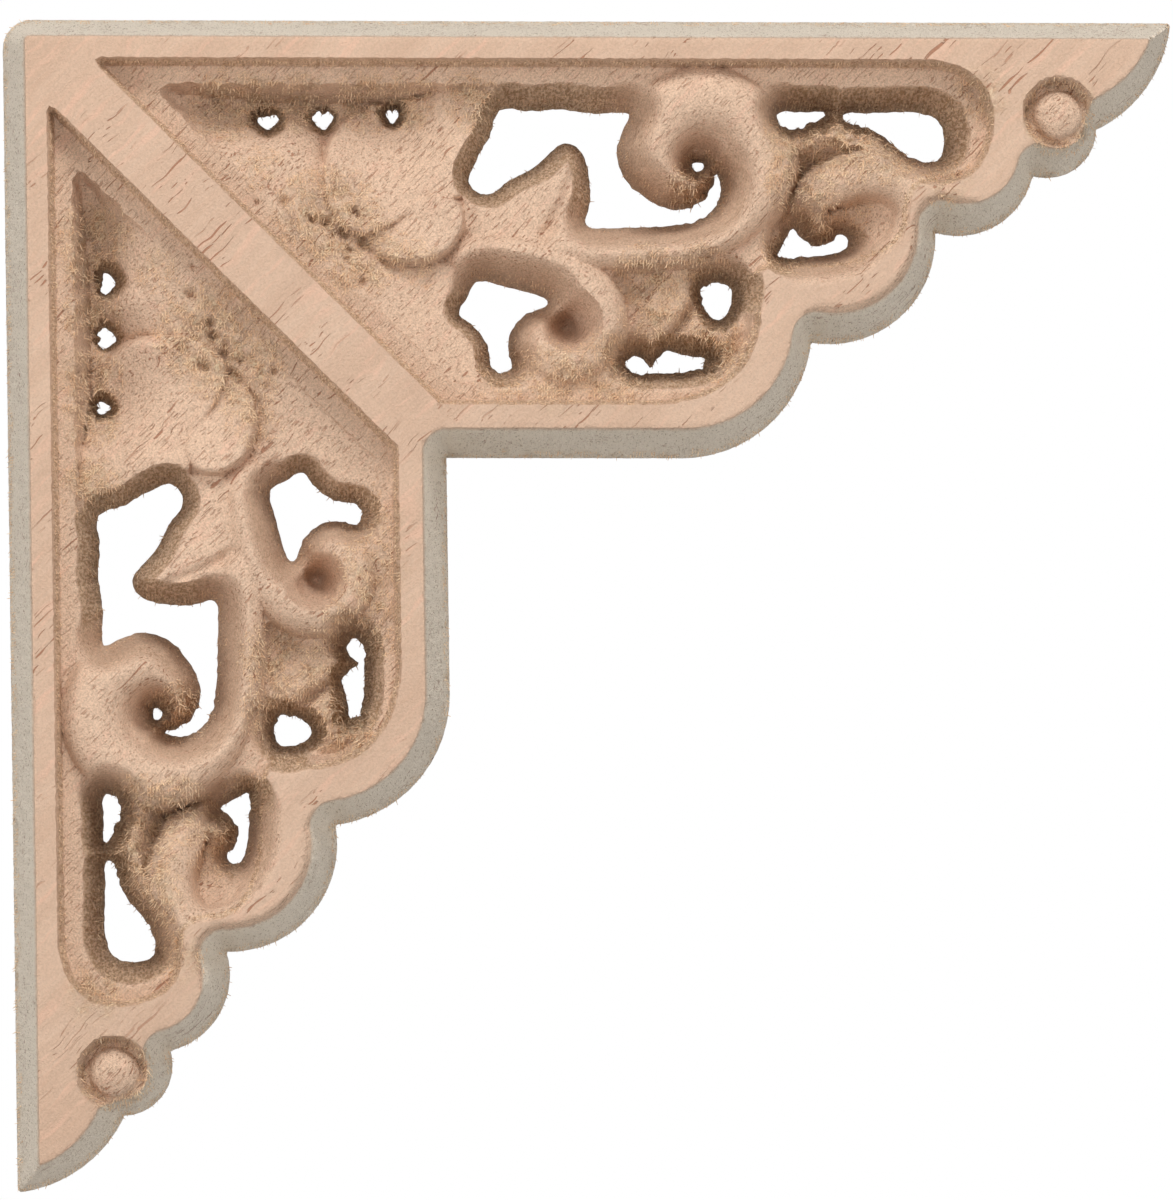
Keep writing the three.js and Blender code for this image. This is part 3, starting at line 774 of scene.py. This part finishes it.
def bench_places(bm):
    """Along and across for every point, whichever arm it is on, and its height."""
    x, y, z = places(bm.verts)
    return np.maximum(x, y), np.minimum(x, y), z


# %% [markdown]
# ## What each point of the mesh is
# Torn wood, a cut wall, the outer rim and the step of the ledge look different on the real
# piece. Their strength is worked out for each point and kept as mesh attributes, so that the
# shader can read them, and the same numbers say how rough the mesh itself is. The shader also
# uses the wall, step and carved shares to lay painted bounce light into the hollows. The sanded
# front and the flat back stay true.

# %% Facts for the shader
BOSS_RING_TEAR = 0.5
WALL_BLEND = 0.6
NEAR_LINE = 0.02
ROUND_WALL_SHARE = 0.75
FOOT_TEAR = 0.6
FRONT_BLEND = 0.15


def bench_facts(bm):
    """What each point is part of, as shares from 0 to 1."""
    x, y, z = bench_places(bm)
    top, wall_height = carved_surface(x, y), wood_distance(x, y) / DRAFT
    wall = np.clip((top - wall_height) / WALL_BLEND, 0, 1)
    rim = wall * (outer_distance(x, y) <= wood_distance(x, y) + 0.01)
    smooth = (softness(x, y) - SHOULDER) / (ROUND_SHOULDER - SHOULDER)
    wall = wall * (1 - ROUND_WALL_SHARE * smooth * (1 - np.clip(rim, 0, 1)))
    panel = panel_distance(x, y)
    on_step = (panel > NEAR_LINE) & (panel < STEP_DEPTH * DRAFT - NEAR_LINE) & (top > LEDGE)
    patches = unevenness(31, 1.4)(x, y, z)
    ring = np.abs(np.hypot(x - BOSS[0], y - BOSS[1]) - BOSS_GROOVE_RADIUS + 0.3)
    torn = np.maximum(torn_share(x, y), BOSS_RING_TEAR * np.clip(1.3 - ring / 0.5, 0, 1))
    torn = np.clip(torn * (1.0 + 0.6 * patches), 0, 1)
    foot = wall * np.clip(1.2 - z / 2.2, 0, 1) * np.clip(0.4 + patches, 0, 1)
    carved = np.clip((THICKNESS - z) / FRONT_BLEND, 0, 1) * (1 - rim)
    return {
        "torn": np.maximum(torn, FOOT_TEAR * foot), "wall": wall, "rim": rim,
        "step": on_step.astype(float), "carved": carved}


# %% Roughen the mesh and stand it up
HAND_WAVER, CARVED_FINE, STEP_FINE = 0.012, 0.015, 0.04
TORN_COARSE, TORN_FINE = 0.07, 0.10
WALL_TOOL, WALL_FINE = 0.03, 0.025
TOP_FADE, BACK_FADE = 0.6, 0.8
FRONT_SKIN = 0.02


def roughen(bm, facts):
    """Move each point along its normal by what the tool and the tearing left there."""
    bm.normal_update()
    x, y, z = places(bm.verts)
    coarse = unevenness(41, 1.1, 18)(x, y, z)
    fine = unevenness(42, 0.55, 22)(x, y, z)
    tool = unevenness(43, 0.6, 20)(x, y, 0.12 * z)
    push = HAND_WAVER * coarse + facts["torn"] * (TORN_COARSE * coarse + TORN_FINE * fine)
    push += facts["carved"] * CARVED_FINE * fine
    push += facts["wall"] * (WALL_TOOL * tool + WALL_FINE * fine) + facts["step"] * STEP_FINE * fine
    guard = 0.3 + 0.7 * np.clip((THICKNESS - z) / TOP_FADE, 0, 1) ** 0.5
    sunk = np.where(z > THICKNESS - FRONT_SKIN, 0.0, push * np.clip(z / BACK_FADE, 0, 1) * guard)
    for vert, amount in zip(bm.verts, sunk):
        if vert.co.z > 0 and amount:
            vert.co += vert.normal * float(amount)
            vert.co.z = min(vert.co.z, THICKNESS)


def keep_facts(piece, facts):
    for name, values in facts.items():
        layer = piece.data.attributes.new(name, "FLOAT", "POINT")
        layer.data.foreach_set("value", np.asarray(values, dtype=np.float32))


def put(name, data):
    made = bpy.data.objects.new(name, data)
    bpy.context.scene.collection.objects.link(made)
    return made


def to_object(bm, name):
    mesh = bpy.data.meshes.new(name)
    bm.to_mesh(mesh)
    bm.free()
    return put(name, mesh)


SHARP_ANGLE = math.radians(42)
board = whole_board()
facts = bench_facts(board)
roughen(board, facts)
bench = places(board.verts)
board.normal_update()
bench_normals = np.array([v.normal[:] for v in board.verts]).T
bmesh.ops.transform(board, matrix=STAND_UP, verts=board.verts[:])
bmesh.ops.recalc_face_normals(board, faces=board.faces[:])
carving = to_object(board, "carved_onlay")
keep_facts(carving, facts)
carving.data.shade_smooth()
carving.data.set_sharp_from_angle(angle=SHARP_ANGLE)
print("triangles:", len(carving.data.polygons))
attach(carving, "root")
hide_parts("corner_onlay")

# %% [markdown]
# ## Loose fibres
# Where the wood tore, short fibres still stand up and catch the light. Each one is a
# three-sided spike, made as a cone on a random point: mostly where the wood is torn, and also low on
# the walls that face down and on the step.

# %% Torn fibres
FIBRE_COUNT = 18500
FIBRE_LENGTHS = (0.12, 0.42)
FIBRE_WIDTHS = (0.03, 0.065)
FIBRE_ROOT = 0.1
FIBRE_TAPER = 0.25
FIBRE_BATCH = 400
DOWN_AND_OUT = (-0.15, 0.45, 0.1)
OUTWARD, SWING = 0.6, 0.35
HANGING_WEIGHT, WALL_WEIGHT, STEP_WEIGHT, RIM_WEIGHT = 0.9, 0.05, 0.12, 0.01


def fibres(count):
    dice = np.random.default_rng(77)
    x, y, z = bench
    hanging = np.clip(bench_normals[1], 0, 1) * (1 - facts["rim"])
    likely = facts["torn"] ** 2 * (z > 0.25)
    tufts = np.clip(0.35 + unevenness(78, 0.9)(x, y, z), 0, 1)
    likely = likely + HANGING_WEIGHT * hanging * facts["wall"] * (z > 0.15) * (z < 3.4)
    likely = likely + WALL_WEIGHT * facts["wall"] * (1 - facts["rim"]) * (z > 0.15) * (z < 2)
    likely = (likely + STEP_WEIGHT * facts["step"]) * tufts
    likely = likely + RIM_WEIGHT * facts["rim"] * (z < 1.5) * (z > 0.2)
    picks = dice.choice(len(x), size=count, replace=False, p=likely / likely.sum())
    made = bpy.data.meshes.new("fibre_batch")
    total = bmesh.new()
    room = FIBRE_WIDTHS[1] * MM
    kept = 0
    batch = bmesh.new()
    for i in picks:
        root = Vector((x[i], y[i], z[i]))
        normal = Vector(bench_normals[:, i])
        swing = Vector(dice.normal(size=3))
        aim = (normal * OUTWARD + swing * SWING + Vector(DOWN_AND_OUT)).normalized()
        length = dice.uniform(*FIBRE_LENGTHS) * (0.6 + 0.6 * facts["torn"][i])
        width = dice.uniform(*FIBRE_WIDTHS)
        ends = [STAND_UP @ (root + aim * length), STAND_UP @ (root - aim * FIBRE_ROOT)]
        if not all(a + room < c < b - room for end in ends for a, b, c in zip(low_corner, high_corner, end)):
            continue
        middle = root + aim * (length / 2 - FIBRE_ROOT / 2)
        turn = aim.to_track_quat("Z", "Y").to_matrix().to_4x4()
        bmesh.ops.create_cone(
            batch, cap_ends=True, segments=3, radius1=width, radius2=width * FIBRE_TAPER,
            depth=length + FIBRE_ROOT, matrix=Matrix.Translation(middle) @ turn)
        kept += 1
        if kept % FIBRE_BATCH == 0:
            batch.to_mesh(made)
            total.from_mesh(made)
            batch.clear()
    batch.to_mesh(made)
    total.from_mesh(made)
    batch.free()
    bpy.data.meshes.remove(made)
    bmesh.ops.transform(total, matrix=STAND_UP, verts=total.verts[:])
    bmesh.ops.triangulate(total, faces=total.faces[:])
    bmesh.ops.recalc_face_normals(total, faces=total.faces[:])
    print("fibres:", kept, "with", len(total.faces), "triangles")
    return to_object(total, "torn_fibres")


loose = fibres(FIBRE_COUNT)
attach(loose, "root")

# %% [markdown]
# ## Beech wood
# The wood is pale pinkish beech with its grain running up to the right at half a right angle.
# On the flat front the pores show as a few thin dark streaks; on the cut walls the same pores
# are cut across and show as short dashes. Patterns in the solid, stretched along the grain, give
# both without any unwrapping. Faces carved below the front are painted lighter and warmer than
# the sanded front, and the cut walls warm and bright: this is painted bounce light in the hollows,
# on top of the cutter's lines on the walls.

# %% Node helpers
def add(tree, kind, values=None, **settings):
    """Add a node, set its properties, and set or link its inputs."""
    made = tree.nodes.new("ShaderNode" + kind)
    for name, value in settings.items():
        setattr(made, name, value)
    for name, value in (values or {}).items():
        if isinstance(value, bpy.types.NodeSocket):
            tree.links.new(value, made.inputs[name])
        else:
            made.inputs[name].default_value = value
    return made


def blend_colour(tree, share, first, second):
    made = add(tree, "Mix", data_type="RGBA")
    for socket, value in zip((made.inputs[0], made.inputs[6], made.inputs[7]), (share, first, second)):
        if isinstance(value, bpy.types.NodeSocket):
            tree.links.new(value, socket)
        else:
            socket.default_value = value if socket is made.inputs[0] else (*value, 1)
    return made.outputs[2]


def maths(tree, operation, first, second=0.0, clamp=False):
    return add(tree, "Math", {0: first, 1: second}, operation=operation, use_clamp=clamp).outputs[0]


def times(tree, first, second, clamp=False):
    return maths(tree, "MULTIPLY", first, second, clamp)


def ranged(tree, value, low, high, to_low=0.0, to_high=1.0):
    return add(tree, "MapRange", {
        "Value": value, "From Min": low, "From Max": high, "To Min": to_low, "To Max": to_high}).outputs[0]


def new_material(name, roughness):
    """A material, its node tree and its surface shader."""
    material = bpy.data.materials.new(name)
    material.use_nodes = True
    shader = material.node_tree.nodes["Principled BSDF"]
    shader.inputs["Roughness"].default_value = roughness
    return material, material.node_tree, shader


# %% Wood colours and sizes
WOOD_LIGHT = (0.66, 0.468, 0.343)
WOOD_WARM = (0.60, 0.413, 0.297)
# Lighter, warmer tone laid on every face carved below the front: painted bounce light in the hollows.
CARVED_BOUNCE_LIGHT = (0.90, 0.64, 0.46)
WOOD_STRAND = (0.60, 0.375, 0.25)
WOOD_BLUSH = (0.78, 0.48, 0.345)
RIM_PALE = (1.0, 0.88, 0.73)
RIM_SHADE = (0.60, 0.49, 0.36)
# Cut-wall colours: the cutter's light and dark lines, made warm and bright as painted bounce light between
# the walls.
WALL_LIGHT_LINE_BOUNCE = (1.0, 0.73, 0.50)
WALL_DARK_LINE_BOUNCE = (0.52, 0.31, 0.16)
TORN_PALE = (1.0, 0.79, 0.52)
TORN_DARK = (0.62, 0.36, 0.20)
PORE_BROWN = (0.36, 0.14, 0.07)
FIBRE_BROWN = (0.84, 0.57, 0.36)
FIBRE_PALE = (0.98, 0.77, 0.53)
WOOD_ROUGHNESS = 0.78
FIBRE_ROUGHNESS = 0.8
WOOD_SHINE = 0.25
BUMP_DEPTH = 0.06
BACK_EDGE = (0.02, 0.005)
GRAIN_TURN = math.radians(-45)


def noise(tree, place, scale, detail, roughness=0.5, output="Fac"):
    return add(tree, "TexNoise", {
        "Vector": place, "Scale": scale, "Detail": detail, "Roughness": roughness}).outputs[output]


def drawn_out(tree, place, size, turn=0.0):
    """The place as seen by a pattern that is stretched to a size in millimetres."""
    return add(
        tree, "Mapping", {"Vector": place, "Rotation": (0, turn, 0), "Scale": [s * MM for s in size]},
        vector_type="TEXTURE").outputs[0]


def grain_noise(tree, place, length, width, detail=2.0, roughness=0.5):
    """Noise stretched along the grain; length and width in millimetres."""
    return noise(tree, drawn_out(tree, place, (length, width, width), GRAIN_TURN), 1.0, detail, roughness)


def even_noise(tree, place, size, detail=2.0, roughness=0.5):
    return noise(tree, place, 1 / (size * MM), detail, roughness)


def depth_noise(tree, place, width, depth):
    """Noise drawn out along the depth of the board, as the cutter's lines on a wall are."""
    return noise(tree, drawn_out(tree, place, (width, depth, width)), 1.0, 3.0, 0.6)


def warped(tree, place, size, amount):
    """The place pushed about a little, so that straight grain lines waver."""
    random = noise(tree, place, 1 / (size * MM), 1.0, output="Color")
    centred = add(tree, "VectorMath", {0: random, 1: (0.5, 0.5, 0.5)}, operation="SUBTRACT").outputs[0]
    pushed = add(tree, "VectorMath", {0: centred, "Scale": amount * MM}, operation="SCALE").outputs[0]
    return add(tree, "VectorMath", {0: place, 1: pushed}, operation="ADD").outputs[0]


def beech():
    material, tree, shader = new_material("raw_beech", WOOD_ROUGHNESS)
    place = add(tree, "TexCoord").outputs["Object"]
    depth = add(tree, "SeparateXYZ", {0: place}).outputs["Y"]
    in_front = ranged(tree, depth, -BACK_EDGE[0] * MM, -BACK_EDGE[1] * MM, 1.0, 0.0)
    torn, wall, step, rim, carved = (
        times(tree, add(tree, "Attribute", attribute_name=name).outputs["Fac"], in_front)
        for name in ("torn", "wall", "step", "rim", "carved"))
    cut = maths(tree, "MAXIMUM", wall, times(tree, step, 0.7))
    wavy = warped(tree, place, 2.5, 0.9)

    bands = ranged(tree, grain_noise(tree, place, 14, 2.2, 3.0), 0.35, 0.65)
    strands = ranged(tree, grain_noise(tree, wavy, 3.0, 0.16, 3.0, 0.6), 0.3, 0.7)
    blush = ranged(tree, grain_noise(tree, wavy, 7.0, 0.6, 2.0), 0.56, 0.72)
    lines = ranged(tree, depth_noise(tree, place, 0.17, 1.8), 0.42, 0.58)
    ticks = ranged(tree, depth_noise(tree, place, 0.12, 0.6), 0.58, 0.65)
    crumbs = ranged(tree, even_noise(tree, place, 0.24, 4.0, 0.75), 0.44, 0.58)
    shreds = times(tree, torn, ranged(tree, even_noise(tree, place, 0.8, 3.0), 0.35, 0.6), True)
    pores = ranged(tree, grain_noise(tree, wavy, 7.0, 0.18, 1.0), 0.65, 0.675)
    sparse = ranged(tree, grain_noise(tree, place, 9, 2.5, 1.0), 0.49, 0.60)
    dashes = ranged(tree, grain_noise(tree, place, 1.0, 0.12, 1.0), 0.62, 0.67)
    dashes = times(tree, dashes, times(tree, carved, 0.6), True)
    dark = maths(tree, "MAXIMUM", times(tree, pores, sparse, True), dashes)

    colour = blend_colour(tree, bands, WOOD_LIGHT, WOOD_WARM)
    # The carved layer is painted bounce light on all carved faces; the cut layer is the cutter's lines, with
    # painted bounce light in their warm, bright colours.
    for share, strength, layer in (
            (carved, 0.65, CARVED_BOUNCE_LIGHT), (strands, 0.3, WOOD_STRAND), (blush, 0.5, WOOD_BLUSH),
            (cut, 0.75, blend_colour(tree, lines, WALL_LIGHT_LINE_BOUNCE, WALL_DARK_LINE_BOUNCE)),
            (rim, 0.95, blend_colour(tree, ticks, RIM_PALE, RIM_SHADE)),
            (shreds, 0.8, blend_colour(tree, crumbs, TORN_DARK, TORN_PALE)),
            (dark, 0.75, PORE_BROWN)):
        colour = blend_colour(tree, times(tree, share, strength), colour, layer)

    fine = even_noise(tree, place, 0.13, 2.0, 0.7)
    grit = ranged(tree, fine, 0.38, 0.62, 1.0, 0.0)
    shade = maths(tree, "ADD", 0.13, times(tree, carved, 0.17))
    value = maths(tree, "SUBTRACT", 1.07, times(tree, grit, shade))
    gritty = add(tree, "VectorMath", {0: colour, "Scale": value}, operation="SCALE").outputs[0]
    tree.links.new(gritty, shader.inputs["Base Color"])
    shader.inputs["Specular IOR Level"].default_value = WOOD_SHINE

    nap = times(tree, strands, 0.35)
    nap = maths(tree, "SUBTRACT", nap, times(tree, dark, 1.2))
    nap = maths(tree, "ADD", nap, times(tree, lines, times(tree, cut, -0.8)))
    rough_share = maths(tree, "ADD", times(tree, cut, 1.8), times(tree, torn, 3.5))
    carved_share = maths(tree, "ADD", times(tree, carved, 0.9), 1.1)
    rough_share = maths(tree, "ADD", rough_share, carved_share)
    nap = maths(tree, "ADD", nap, times(tree, fine, rough_share))
    bump = add(tree, "Bump", {"Height": nap, "Strength": 1.0, "Distance": BUMP_DEPTH * MM})
    tree.links.new(bump.outputs["Normal"], shader.inputs["Normal"])
    return material


def fibre_wood():
    material, tree, shader = new_material("beech_fibres", FIBRE_ROUGHNESS)
    place = add(tree, "TexCoord").outputs["Object"]
    share = ranged(tree, even_noise(tree, place, 0.9, 2.0), 0.35, 0.65)
    colour = blend_colour(tree, share, FIBRE_BROWN, FIBRE_PALE)
    tree.links.new(colour, shader.inputs["Base Color"])
    return material


carving.data.materials.append(beech())
loose.data.materials.append(fibre_wood())
print("materials:", len(bpy.data.materials))

# %% [markdown]
# ## Floor, light and camera
# A plain pale floor lies well below the piece. Four wide lamps stand above, beside and in
# front of it. The one above is the strongest, as in the photograph, and the one in front
# lights the deep grounds. The camera stands a little to the left and low, so the left rim and
# the walls under the scallops show.

# %% Floor
FLOOR_LEVEL = -0.15
FLOOR_SIZE = 0.6
FLOOR_PALE = (0.66, 0.65, 0.64)
FLOOR_ROUGHNESS = 0.6
floor_bm = bmesh.new()
bmesh.ops.create_grid(
    floor_bm, x_segments=1, y_segments=1, size=FLOOR_SIZE, matrix=Matrix.Translation((0.02, 0, FLOOR_LEVEL)))
floor = to_object(floor_bm, "floor")
pale, _, surface = new_material("pale_floor", FLOOR_ROUGHNESS)
surface.inputs["Base Color"].default_value = (*FLOOR_PALE, 1)
floor.data.materials.append(pale)

# %% Lights and sky
SUBJECT = (0.024, -0.004, -0.024)
SKY_LIGHT = 0.20
WHITE = (1, 1, 1, 1)
LAMPS = [
    ("soft_top", (0.02, -0.32, 0.40), 0.25, 1.6), ("soft_left", (-0.45, -0.30, 0.05), 0.30, 0.9),
    ("soft_right", (0.50, -0.30, 0.05), 0.30, 0.8), ("soft_front", (-0.10, -0.62, 0.10), 0.20, 0.75)]


def aim_at(thing, place, target):
    """Place a lamp or the camera and turn it to the target."""
    thing.location = place
    thing.rotation_euler = (Vector(target) - Vector(place)).to_track_quat("-Z", "Y").to_euler()


for name, place, size, power in LAMPS:
    lamp = bpy.data.lights.new(name, "AREA")
    lamp.shape, lamp.size, lamp.energy = "DISK", size, power
    aim_at(put(name, lamp), place, SUBJECT)
world = bpy.data.worlds.new("studio")
bpy.context.scene.world = world
world.use_nodes = True
sky = world.node_tree
shine = sky.nodes["Background"]
shine.inputs["Color"].default_value = WHITE
shine.inputs["Strength"].default_value = SKY_LIGHT
seen = add(sky, "Background", {"Color": WHITE, "Strength": 1.0})
choose = add(sky, "MixShader", {
    0: add(sky, "LightPath").outputs["Is Camera Ray"], 1: shine.outputs[0], 2: seen.outputs[0]})
sky.links.new(choose.outputs[0], sky.nodes["World Output"].inputs["Surface"])
print("lamps:", len(LAMPS))

# %% Camera and plain colours
bpy.context.scene.view_settings.view_transform = "Standard"
CAMERA_PLACE = (0.0052, -0.540, -0.0324)
LOOK_AT = (0.02379, 0.0, -0.02371)
LENS = 236.5
view = bpy.data.cameras.new("camera")
view.lens = LENS
view.clip_start, view.clip_end = 0.05, 10
camera = put("camera", view)
aim_at(camera, CAMERA_PLACE, LOOK_AT)
bpy.context.scene.camera = camera
print("lens:", LENS, "mm")
